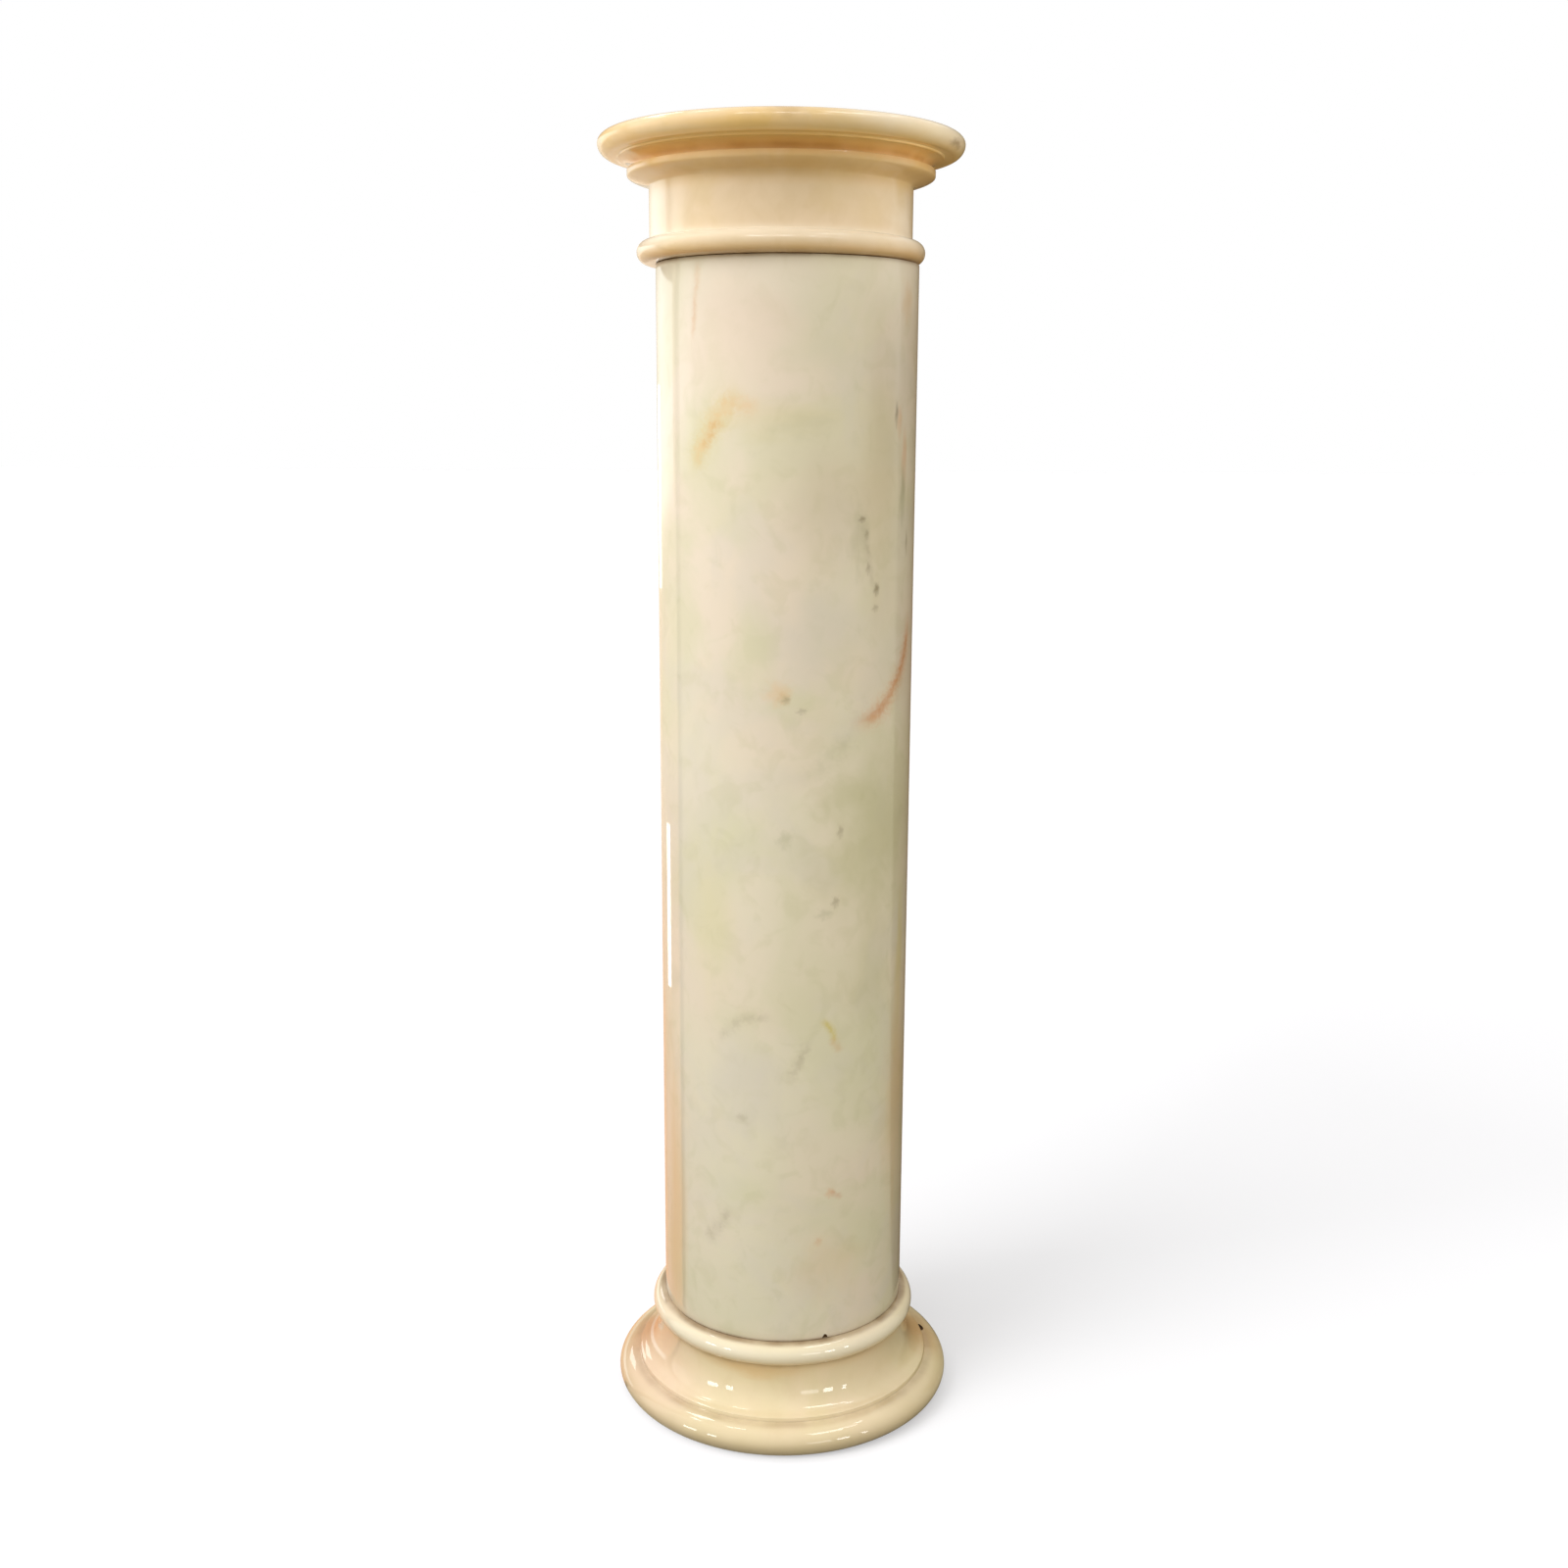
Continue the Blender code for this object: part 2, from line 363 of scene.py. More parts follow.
def feed(tree, socket, value):
    """Joins a socket to another one's output, or sets it to a plain value."""
    if isinstance(value, bpy.types.NodeSocket):
        tree.links.new(value, socket)
    else:
        socket.default_value = value


def calculate(tree, operation, first, second=0.0):
    node = put(tree, "ShaderNodeMath", operation=operation)
    feed(tree, node.inputs[0], first)
    feed(tree, node.inputs[1], second)
    return node.outputs[0]


def ramp(tree, value, low, high, out_low=0.0, out_high=1.0):
    node = put(tree, "ShaderNodeMapRange", interpolation_type="SMOOTHSTEP")
    feed(tree, node.inputs["Value"], value)
    feed(tree, node.inputs["From Min"], low)
    feed(tree, node.inputs["From Max"], high)
    feed(tree, node.inputs["To Min"], out_low)
    feed(tree, node.inputs["To Max"], out_high)
    return node.outputs["Result"]


def bell(tree, value):
    """One at zero, falling away softly on both sides."""
    square = calculate(tree, "MULTIPLY", value, value)
    return calculate(tree, "EXPONENT", calculate(tree, "MULTIPLY", square, -1.0))


def blend_colour(tree, amount, under, over):
    node = put(tree, "ShaderNodeMix", data_type="RGBA")
    feed(tree, node.inputs[0], amount)
    feed(tree, node.inputs[6], under)
    feed(tree, node.inputs[7], over)
    return node.outputs[2]


def speckle(tree, vector, scale, detail=3.0, distortion=0.0):
    node = put(tree, "ShaderNodeTexNoise")
    feed(tree, node.inputs["Vector"], vector)
    feed(tree, node.inputs["Scale"], scale)
    feed(tree, node.inputs["Detail"], detail)
    feed(tree, node.inputs["Distortion"], distortion)
    return node.outputs[0]


def unwrapping_group():
    """Unrolls the column: how far round from the front and how far up a point is."""
    group, given, result = new_group(
        "Unrolled surface",
        [("Vector", "NodeSocketVector", None), ("Radius", "NodeSocketFloat", SHAFT_RADIUS)],
        [("Flat", "NodeSocketVector")],
    )
    parts = put(group, "ShaderNodeSeparateXYZ")
    feed(group, parts.inputs[0], given.outputs["Vector"])
    towards_front = calculate(group, "MULTIPLY", parts.outputs["Y"], -1.0)
    angle = calculate(group, "ARCTAN2", parts.outputs["X"], towards_front)
    length = calculate(group, "MULTIPLY", angle, given.outputs["Radius"])
    flat = put(group, "ShaderNodeCombineXYZ")
    feed(group, flat.inputs["X"], length)
    feed(group, flat.inputs["Y"], parts.outputs["Z"])
    feed(group, result.inputs["Flat"], flat.outputs[0])
    return group


def cloud_group():
    """Soft clouds in the stone."""
    group, given, result = new_group(
        "Stone cloud",
        [
            ("Vector", "NodeSocketVector", None),
            ("Size", "NodeSocketFloat", 0.1),
            ("Level", "NodeSocketFloat", 0.5),
            ("Softness", "NodeSocketFloat", 0.15),
            ("Shift", "NodeSocketFloat", 0.0),
        ],
        [("Mask", "NodeSocketFloat")],
    )
    shifted = put(group, "ShaderNodeVectorMath", operation="ADD")
    feed(group, shifted.inputs[0], given.outputs["Vector"])
    feed(group, shifted.inputs[1], given.outputs["Shift"])
    scale = calculate(group, "DIVIDE", 1.0, given.outputs["Size"])
    cloud = speckle(group, shifted.outputs[0], scale, 5.0, CLOUD_DISTORTION)
    low = calculate(group, "SUBTRACT", given.outputs["Level"], given.outputs["Softness"])
    high = calculate(group, "ADD", given.outputs["Level"], given.outputs["Softness"])
    feed(group, result.inputs["Mask"], ramp(group, cloud, low, high))
    return group


def vein_group():
    """One vein on the unrolled surface: a bowed, feathered stroke that breaks up and fades at its ends."""
    group, given, result = new_group(
        "Stone vein",
        [
            ("Flat", "NodeSocketVector", None),
            ("Round", "NodeSocketFloat", 0.0),
            ("Up", "NodeSocketFloat", 0.0),
            ("Tilt", "NodeSocketFloat", 0.0),
            ("Length", "NodeSocketFloat", 0.05),
            ("Width", "NodeSocketFloat", 0.003),
            ("Bow", "NodeSocketFloat", 0.0),
            ("Breaks", "NodeSocketFloat", 0.3),
        ],
        [("Mask", "NodeSocketFloat")],
    )
    flat = given.outputs["Flat"]
    place = put(group, "ShaderNodeSeparateXYZ")
    feed(group, place.inputs[0], flat)
    side = calculate(group, "SUBTRACT", place.outputs["X"], given.outputs["Round"])
    rise = calculate(group, "SUBTRACT", place.outputs["Y"], given.outputs["Up"])
    cosine = calculate(group, "COSINE", given.outputs["Tilt"])
    sine = calculate(group, "SINE", given.outputs["Tilt"])
    side_along = calculate(group, "MULTIPLY", side, cosine)
    rise_along = calculate(group, "MULTIPLY", rise, sine)
    along = calculate(group, "ADD", side_along, rise_along)
    rise_across = calculate(group, "MULTIPLY", rise, cosine)
    side_across = calculate(group, "MULTIPLY", side, sine)
    across = calculate(group, "SUBTRACT", rise_across, side_across)

    half = calculate(group, "MULTIPLY", given.outputs["Length"], 0.5)
    share = calculate(group, "DIVIDE", along, half)
    square = calculate(group, "MULTIPLY", share, share)
    bow = calculate(group, "MULTIPLY", calculate(group, "SUBTRACT", 1.0, square), given.outputs["Bow"])
    bend = calculate(group, "SUBTRACT", speckle(group, flat, VEIN_BENDS, 2.0), 0.5)
    fray = calculate(group, "SUBTRACT", speckle(group, flat, VEIN_FRAYS, 4.0), 0.5)
    bowed = calculate(group, "SUBTRACT", across, bow)
    bent = calculate(group, "ADD", bowed, calculate(group, "MULTIPLY", bend, VEIN_BEND_DEPTH))
    spread = calculate(group, "DIVIDE", bent, given.outputs["Width"])
    frayed = calculate(group, "ADD", spread, calculate(group, "MULTIPLY", fray, VEIN_FRAY_DEPTH))
    core = bell(group, frayed)
    ends = ramp(group, calculate(group, "ABSOLUTE", share), 0.5, 1.0, 1.0, 0.0)
    gaps = ramp(group, speckle(group, flat, VEIN_GAPS, 3.0), 0.42, 0.60)
    whole = calculate(group, "SUBTRACT", 1.0, given.outputs["Breaks"])
    broken = calculate(group, "ADD", whole, calculate(group, "MULTIPLY", gaps, given.outputs["Breaks"]))
    mask = calculate(group, "MULTIPLY", calculate(group, "MULTIPLY", core, ends), broken)
    feed(group, result.inputs["Mask"], mask)
    return group


def blotch_group():
    """A soft patch with a ragged edge round a point, used both for the stone's own patches and for painted
    highlights and shade.
    """
    group, given, result = new_group(
        "Stone and painted light blotch",
        [
            ("Vector", "NodeSocketVector", None),
            ("Centre", "NodeSocketVector", None),
            ("Reach", "NodeSocketVector", None),
            ("Ragged", "NodeSocketFloat", 0.4),
        ],
        [("Mask", "NodeSocketFloat")],
    )
    away = put(group, "ShaderNodeVectorMath", operation="SUBTRACT")
    feed(group, away.inputs[0], given.outputs["Vector"])
    feed(group, away.inputs[1], given.outputs["Centre"])
    shares = put(group, "ShaderNodeVectorMath", operation="DIVIDE")
    feed(group, shares.inputs[0], away.outputs[0])
    feed(group, shares.inputs[1], given.outputs["Reach"])
    distance = put(group, "ShaderNodeVectorMath", operation="LENGTH")
    feed(group, distance.inputs[0], shares.outputs[0])
    uneven = calculate(group, "SUBTRACT", speckle(group, shares.outputs[0], BLOTCH_EDGE, 5.0), 0.5)
    doubled = calculate(group, "MULTIPLY", given.outputs["Ragged"], 2.0)
    push = calculate(group, "MULTIPLY", uneven, doubled)
    ragged = calculate(group, "ADD", distance.outputs["Value"], push)
    feed(group, result.inputs["Mask"], ramp(group, ragged, 0.1, 1.0, 1.0, 0.0))
    return group


def grime_and_painted_light_group():
    """A band at one height. It lays old wax and dirt along a joint, and it also paints shade into grooves
    and highlights along mouldings.
    """
    group, given, result = new_group(
        "Grime and painted light line",
        [
            ("Vector", "NodeSocketVector", None),
            ("Level", "NodeSocketFloat", 0.0),
            ("Reach", "NodeSocketFloat", 0.002),
            ("Patchiness", "NodeSocketFloat", 0.3),
        ],
        [("Mask", "NodeSocketFloat")],
    )
    parts = put(group, "ShaderNodeSeparateXYZ")
    feed(group, parts.inputs[0], given.outputs["Vector"])
    gap = calculate(group, "SUBTRACT", parts.outputs["Z"], given.outputs["Level"])
    band = bell(group, calculate(group, "DIVIDE", gap, given.outputs["Reach"]))
    patches = ramp(group, speckle(group, given.outputs["Vector"], GRIME_AND_LIGHT_PATCHES, 4.0), 0.35, 0.65)
    full = calculate(group, "SUBTRACT", 1.0, given.outputs["Patchiness"])
    patchy = calculate(group, "MULTIPLY", patches, given.outputs["Patchiness"])
    strength = calculate(group, "ADD", full, patchy)
    feed(group, result.inputs["Mask"], calculate(group, "MULTIPLY", band, strength))
    return group


def polish_group():
    """The slight waviness and the wiped look of hand-polished stone."""
    group, given, result = new_group(
        "Hand polish",
        [
            ("Vector", "NodeSocketVector", None),
            ("Smoothest", "NodeSocketFloat", 0.03),
            ("Dullest", "NodeSocketFloat", 0.1),
        ],
        [("Roughness", "NodeSocketFloat"), ("Height", "NodeSocketFloat")],
    )
    wiped = speckle(group, given.outputs["Vector"], WIPED_PATCHES, 5.0, 0.3)
    roughness = ramp(group, wiped, 0.3, 0.7, given.outputs["Smoothest"], given.outputs["Dullest"])
    feed(group, result.inputs["Roughness"], roughness)
    waves = speckle(group, given.outputs["Vector"], POLISH_WAVES, 1.0)
    grains = speckle(group, given.outputs["Vector"], POLISH_GRAINS, 2.0)
    grains = calculate(group, "MULTIPLY", grains, GRAIN_SHARE)
    feed(group, result.inputs["Height"], calculate(group, "ADD", waves, grains))
    return group


GROUPS = {
    "unrolled": unwrapping_group(),
    "cloud": cloud_group(),
    "vein": vein_group(),
    "blotch": blotch_group(),
    "grime_and_painted_light": grime_and_painted_light_group(),
    "polish": polish_group(),
}


def place_group(tree, name, **values):
    """Places a shared group and gives its inputs their values, named as in the group."""
    node = put(tree, "ShaderNodeGroup", node_tree=GROUPS[name])
    for label, value in values.items():
        feed(tree, node.inputs[label], value)
    return node


# Marbles


def start_stone(name, smoothest, dullest, waviness):
    """A polished stone material with its shader, its coordinates and its polish."""
    material = bpy.data.materials.new(name)
    material.use_nodes = True
    tree = material.node_tree
    shader = tree.nodes["Principled BSDF"]
    shader.inputs["IOR"].default_value = STONE_IOR
    shader.inputs["Metallic"].default_value = 0.0
    position = put(tree, "ShaderNodeTexCoord").outputs["Object"]
    finish = place_group(tree, "polish", Vector=position, Smoothest=smoothest, Dullest=dullest)
    feed(tree, shader.inputs["Roughness"], finish.outputs["Roughness"])
    bump = put(tree, "ShaderNodeBump")
    feed(tree, bump.inputs["Height"], finish.outputs["Height"])
    bump.inputs["Strength"].default_value = waviness
    bump.inputs["Distance"].default_value = BUMP_DISTANCE
    feed(tree, shader.inputs["Normal"], bump.outputs["Normal"])
    return material, tree, shader, position


def tint(tree, colour, node, strength, over):
    """Lays a colour over another one where a group's mask says."""
    amount = calculate(tree, "MULTIPLY", node.outputs["Mask"], strength)
    return blend_colour(tree, amount, colour, over)


def lay_clouds(tree, position, colour, clouds):
    """Each cloud gives its size, level, softness, shift, strength and colour."""
    for size, level, softness, shift, strength, over in clouds:
        cloud = place_group(
            tree, "cloud", Vector=position, Size=size, Level=level, Softness=softness, Shift=shift
        )
        colour = tint(tree, colour, cloud, strength, over)
    return colour


def lay_blotches(tree, position, colour, blotches):
    """Each blotch gives its centre, reach, raggedness, strength and colour."""
    for centre, reach, ragged, strength, over in blotches:
        blotch = place_group(
            tree, "blotch", Vector=position, Centre=centre, Reach=reach, Ragged=ragged
        )
        colour = tint(tree, colour, blotch, strength, over)
    return colour


def lay_grime_and_painted_light(tree, position, colour, lines):
    # Some of these bands are real dirt at joints; the others are painted shade or painted highlights
    """Each line gives its level, reach, patchiness, strength and colour."""
    for level, reach, patchiness, strength, over in lines:
        line = place_group(
            tree, "grime_and_painted_light", Vector=position, Level=level, Reach=reach, Patchiness=patchiness
        )
        colour = tint(tree, colour, line, strength, over)
    return colour


def lay_veins(tree, flat, colour, veins):
    """Each vein gives its angle, height, tilt, length, width, bow, breaks, strength and colour."""
    for angle, height, tilt, length, width, bow, breaks, strength, over in veins:
        vein = place_group(
            tree,
            "vein",
            Flat=flat,
            Round=SHAFT_RADIUS * math.radians(angle),
            Up=height,
            Tilt=math.radians(tilt),
            Length=length,
            Width=width,
            Bow=bow,
            Breaks=breaks,
        )
        colour = tint(tree, colour, vein, strength, over)
    return colour


def on_shaft(angle, height):
    """A point of the unrolled shaft, its angle in degrees from the front, positive to the right."""
    return (SHAFT_RADIUS * math.radians(angle), height, 0.0)


CREAM = srgb(239, 231, 216)
LOW_CREAM = srgb(236, 230, 207)
PINK_CREAM = srgb(243, 225, 211)
GREEN_CREAM = srgb(221, 220, 187)
GREY_LILAC = srgb(226, 219, 210)
OLIVE = srgb(198, 196, 152)
SAGE = srgb(176, 176, 142)
TAN = srgb(206, 190, 154)
HONEY = srgb(230, 192, 130)
OCHRE = srgb(222, 178, 118)
PALE_OCHRE = srgb(238, 202, 156)
RUST = srgb(212, 142, 96)
PALE_RUST = srgb(226, 178, 134)
GREY_VEIN = srgb(164, 152, 126)
DARK_FLECK = srgb(132, 114, 86)
STRAW = srgb(218, 204, 126)
PALE_STRAW = srgb(234, 225, 184)
DUSTY_CREAM = srgb(212, 201, 178)
SHADED_CREAM = srgb(216, 203, 184)
# Brown for dirt in joints and chips, also used as painted shade in grooves and at the floor
GRIME_AND_SHADE = srgb(122, 84, 40)
DARK_GRIME = srgb(58, 40, 22)


def shaft_marble():
    material, tree, shader, position = start_stone("shaft marble", 0.02, 0.06, 0.02)
    flat = place_group(tree, "unrolled", Vector=position, Radius=SHAFT_RADIUS).outputs["Flat"]
    height = put(tree, "ShaderNodeSeparateXYZ")
    feed(tree, height.inputs[0], position)
    raised = ramp(tree, height.outputs["Z"], SHAFT_FOOT, SHAFT_HEAD)
    colour = blend_colour(tree, raised, LOW_CREAM, CREAM)
    colour = lay_clouds(
        tree,
        position,
        colour,
        [
            (0.16, 0.50, 0.14, 1.3, 0.55, PINK_CREAM),
            (0.12, 0.54, 0.12, 5.1, 0.55, GREEN_CREAM),
            (0.07, 0.56, 0.10, 9.7, 0.35, GREY_LILAC),
            (0.020, 0.58, 0.10, 2.4, 0.16, OLIVE),
        ],
    )
    colour = lay_blotches(
        tree,
        flat,
        colour,
        [
            (on_shaft(-20, 0.86), (0.07, 0.07, 1.0), 0.4, 0.6, PINK_CREAM),
            (on_shaft(15, 0.855), (0.05, 0.03, 1.0), 0.4, 0.3, GREEN_CREAM),
            (on_shaft(45, 0.770), (0.034, 0.150, 1.0), 0.3, 0.45, TAN),
            (on_shaft(18, 0.745), (0.050, 0.060, 1.0), 0.3, 0.45, DUSTY_CREAM),
            (on_shaft(42, 0.375), (0.036, 0.050, 1.0), 0.4, 0.35, OLIVE),
            (on_shaft(48, 0.490), (0.075, 0.10, 1.0), 0.6, 0.60, OLIVE),
            (on_shaft(28, 0.525), (0.040, 0.030, 1.0), 0.6, 0.35, OLIVE),
            (on_shaft(16, 0.655), (0.045, 0.050, 1.0), 0.4, 0.6, GREY_LILAC),
            (on_shaft(-14, 0.640), (0.028, 0.050, 1.0), 0.5, 0.55, GREEN_CREAM),
            (on_shaft(4, 0.600), (0.034, 0.020, 1.0), 0.6, 0.50, GREEN_CREAM),
            (on_shaft(-6, 0.807), (0.070, 0.020, 1.0), 0.7, 0.16, STRAW),
            (on_shaft(8, 0.803), (0.034, 0.014, 1.0), 0.9, 0.12, SAGE),
            (on_shaft(-20, 0.302), (0.048, 0.058, 1.0), 0.5, 0.6, GREY_LILAC),
            (on_shaft(-34, 0.420), (0.030, 0.080, 1.0), 0.5, 0.35, PALE_STRAW),
            (on_shaft(7.5, 0.320), (0.005, 0.010, 1.0), 0.7, 0.22, GREY_VEIN),
            (on_shaft(67, 0.390), (0.012, 0.075, 1.0), 0.5, 0.45, STRAW),
            (on_shaft(22, 0.145), (0.05, 0.04, 1.0), 0.5, 0.20, HONEY),
            (on_shaft(66, 0.27), (0.03, 0.14, 1.0), 0.4, 0.45, HONEY),
            # partly a painted reflection: this honey tint low on the left edge stands in for part of the
            # mirrored orange floor, and is partly the stone's own tint
            (on_shaft(-61, 0.15), (0.024, 0.20, 1.0), 0.4, 0.5, HONEY),
            (on_shaft(63, 0.892), (0.014, 0.020, 1.0), 0.6, 0.40, OCHRE),
            (on_shaft(62, 0.780), (0.007, 0.030, 1.0), 0.5, 0.45, PALE_RUST),
            (on_shaft(61, 0.752), (0.007, 0.028, 1.0), 0.6, 0.55, SAGE),
            (on_shaft(54.5, 0.811), (0.0034, 0.012, 1.0), 0.6, 0.60, DARK_FLECK),
            (on_shaft(57, 0.806), (0.0060, 0.016, 1.0), 0.5, 0.40, PALE_RUST),
            (on_shaft(66, 0.716), (0.0030, 0.012, 1.0), 0.7, 0.50, GREY_VEIN),
            (on_shaft(33, 0.722), (0.014, 0.036, 1.0), 0.8, 0.26, SAGE),
            (on_shaft(34, 0.735), (0.0048, 0.0034, 1.0), 0.7, 0.55, DARK_FLECK),
            (on_shaft(36.5, 0.724), (0.0030, 0.0052, 1.0), 0.7, 0.50, GREY_VEIN),
            (on_shaft(37.5, 0.699), (0.0032, 0.0066, 1.0), 0.8, 0.45, GREY_VEIN),
            (on_shaft(42.5, 0.683), (0.0044, 0.0066, 1.0), 0.6, 0.65, DARK_FLECK),
            (on_shaft(42, 0.669), (0.0050, 0.0040, 1.0), 0.7, 0.40, GREY_VEIN),
            (on_shaft(41.5, 0.586), (0.0110, 0.0050, 1.0), 0.6, 0.55, PALE_RUST),
            (on_shaft(-3, 0.608), (0.0150, 0.0130, 1.0), 0.7, 0.40, PALE_OCHRE),
            (on_shaft(-1, 0.605), (0.0080, 0.0065, 1.0), 0.8, 0.30, OCHRE),
            (on_shaft(0, 0.603), (0.0062, 0.0050, 1.0), 0.8, 0.55, TAN),
            (on_shaft(0.5, 0.603), (0.0040, 0.0036, 1.0), 0.8, 0.35, GREY_VEIN),
            (on_shaft(7, 0.5945), (0.0060, 0.0036, 1.0), 0.9, 0.35, GREY_VEIN),
            (on_shaft(21.8, 0.2075), (0.006, 0.006, 1.0), 0.7, 0.45, PALE_RUST),
            (on_shaft(16.4, 0.167), (0.005, 0.005, 1.0), 0.7, 0.35, PALE_RUST),
            (on_shaft(23, 0.446), (0.005, 0.006, 1.0), 0.8, 0.5, GREY_VEIN),
            (on_shaft(18, 0.437), (0.010, 0.006, 1.0), 0.9, 0.3, SAGE),
            (on_shaft(25, 0.501), (0.004, 0.007, 1.0), 0.8, 0.45, GREY_VEIN),
            (on_shaft(0, 0.497), (0.009, 0.010, 1.0), 0.9, 0.25, SAGE),
            (on_shaft(130, 0.60), (0.08, 0.11, 1.0), 0.4, 0.6, OLIVE),
            (on_shaft(-130, 0.35), (0.07, 0.10, 1.0), 0.4, 0.6, GREEN_CREAM),
        ],
    )
    colour = lay_veins(
        tree,
        flat,
        colour,
        [
            (-32, 0.797, 52, 0.086, 0.0095, 0.004, 0.20, 0.40, STRAW),
            (-33, 0.796, 56, 0.066, 0.0056, 0.003, 0.45, 0.50, PALE_OCHRE),
            (-33, 0.795, 56, 0.030, 0.0036, 0.002, 0.55, 0.55, OCHRE),
            (-20, 0.816, -10, 0.036, 0.0060, 0.001, 0.35, 0.45, PALE_OCHRE),
            (49.9, 0.6214, 48, 0.120, 0.0086, -0.019, 0.15, 0.55, PALE_RUST),
            (49.9, 0.6214, 48, 0.112, 0.0040, -0.018, 0.30, 0.62, RUST),
            (37.2, 0.708, -78, 0.056, 0.0024, 0.001, 0.50, 0.28, GREY_VEIN),
            (30, 0.588, 44, 0.060, 0.0090, -0.004, 0.30, 0.35, GREY_LILAC),
            (20, 0.560, 40, 0.070, 0.0070, -0.002, 0.50, 0.18, SAGE),
            (-16.7, 0.340, 26, 0.058, 0.0046, 0.012, 0.60, 0.24, GREY_VEIN),
            (7, 0.318, 64, 0.048, 0.0048, 0.001, 0.50, 0.24, GREY_VEIN),
            (-32, 0.176, 54, 0.046, 0.0046, -0.002, 0.50, 0.30, GREY_VEIN),
            (20.8, 0.343, -62, 0.026, 0.0030, 0.001, 0.20, 0.80, STRAW),
            (24, 0.331, -60, 0.018, 0.0034, 0.000, 0.30, 0.30, OCHRE),
            (-19, 0.269, -50, 0.016, 0.0034, 0.001, 0.60, 0.25, GREY_VEIN),
            (-41.2, 0.890, 84, 0.064, 0.0024, 0.001, 0.35, 0.45, PALE_RUST),
            (25, 0.205, -40, 0.014, 0.0020, 0.000, 0.50, 0.50, RUST),
            (150, 0.700, 38, 0.120, 0.0060, 0.010, 0.35, 0.50, OCHRE),
            (-140, 0.460, -60, 0.110, 0.0030, 0.008, 0.45, 0.50, GREY_VEIN),
            (110, 0.300, 62, 0.090, 0.0030, -0.006, 0.45, 0.45, GREY_VEIN),
            (-105, 0.780, 70, 0.100, 0.0022, 0.006, 0.30, 0.60, RUST),
            (170, 0.240, 30, 0.080, 0.0030, 0.006, 0.40, 0.50, PALE_RUST),
        ],
    )
    colour = lay_grime_and_painted_light(
        tree,
        position,
        colour,
        [
            # painted shade: the top of the shaft is darkened just under the capital
            (SHAFT_HEAD, 0.0450, 0.2, 0.5, SHADED_CREAM),
            (SHAFT_FOOT, 0.0014, 0.5, 0.6, GRIME_AND_SHADE),
            (SHAFT_HEAD, 0.0020, 0.4, 0.6, GRIME_AND_SHADE),
        ],
    )
    feed(tree, shader.inputs["Base Color"], colour)
    return material


# Where the two brown patches of the base lie, out from the middle; the one on the right is painted shade
COVE_RADIUS = 0.118


def base_marble():
    material, tree, shader, position = start_stone("base marble", 0.02, 0.05, 0.02)
    roll_foot = BASE_HEIGHT - BASE_ROLL_HEIGHT
    lip_foot = roll_foot - BASE_LISTEL_HEIGHT - BASE_COVE_HEIGHT - BASE_LIP_HEIGHT
    colour = lay_clouds(
        tree,
        position,
        srgb(238, 222, 184),
        [
            (0.10, 0.52, 0.14, 3.3, 0.5, srgb(243, 219, 194)),
            (0.07, 0.55, 0.12, 7.7, 0.45, srgb(226, 213, 172)),
            (0.02, 0.58, 0.12, 0.9, 0.15, srgb(220, 198, 152)),
        ],
    )
    colour = lay_blotches(
        tree,
        position,
        colour,
        [
            (around(BASE_RADIUS, -70, 0.04), (0.09, 0.09, 0.07), 0.3, 0.6, srgb(240, 202, 178)),
            (around(BASE_RADIUS, 65, 0.04), (0.08, 0.08, 0.07), 0.3, 0.5, srgb(212, 196, 148)),
            # painted shade: the darker brown patch at the cove's right end
            (around(COVE_RADIUS, 98, 0.030), (0.048, 0.050, 0.024), 0.3, 0.80, srgb(194, 152, 98)),
            (around(COVE_RADIUS, -97, 0.030), (0.046, 0.050, 0.026), 0.3, 0.85, srgb(214, 160, 118)),
            # painted shade: a honey patch just under the roll, left of the front
            (around(SHAFT_RADIUS, -14, 0.058), (0.06, 0.05, 0.012), 0.5, 0.6, HONEY),
        ],
    )
    colour = lay_grime_and_painted_light(
        tree,
        position,
        colour,
        [
            # painted light: the middle of the roll is lightened so that the roll looks evenly lit
            (BASE_HEIGHT - BASE_ROLL_HEIGHT / 2, 0.0090, 0.1, 0.9, srgb(252, 243, 220)),
            (BASE_HEIGHT, 0.0012, 0.4, 0.7, GRIME_AND_SHADE),
            # painted shade: a honey band under the roll and dark lines in the creases under the roll and
            # under the lip
            (roll_foot, 0.0060, 0.3, 0.45, HONEY),
            (roll_foot, 0.0020, 0.6, 0.3, GRIME_AND_SHADE),
            (lip_foot, 0.0010, 0.5, 0.35, GRIME_AND_SHADE),
            # painted shade: the underside of the foot roll is darkened, and a dark line at the floor
            # stands for the contact shadow
            (0.012, 0.0090, 0.2, 0.6, srgb(212, 192, 150)),
            (0.0, 0.0022, 0.4, 0.6, GRIME_AND_SHADE),
        ],
    )
    feed(tree, shader.inputs["Base Color"], colour)
    return material


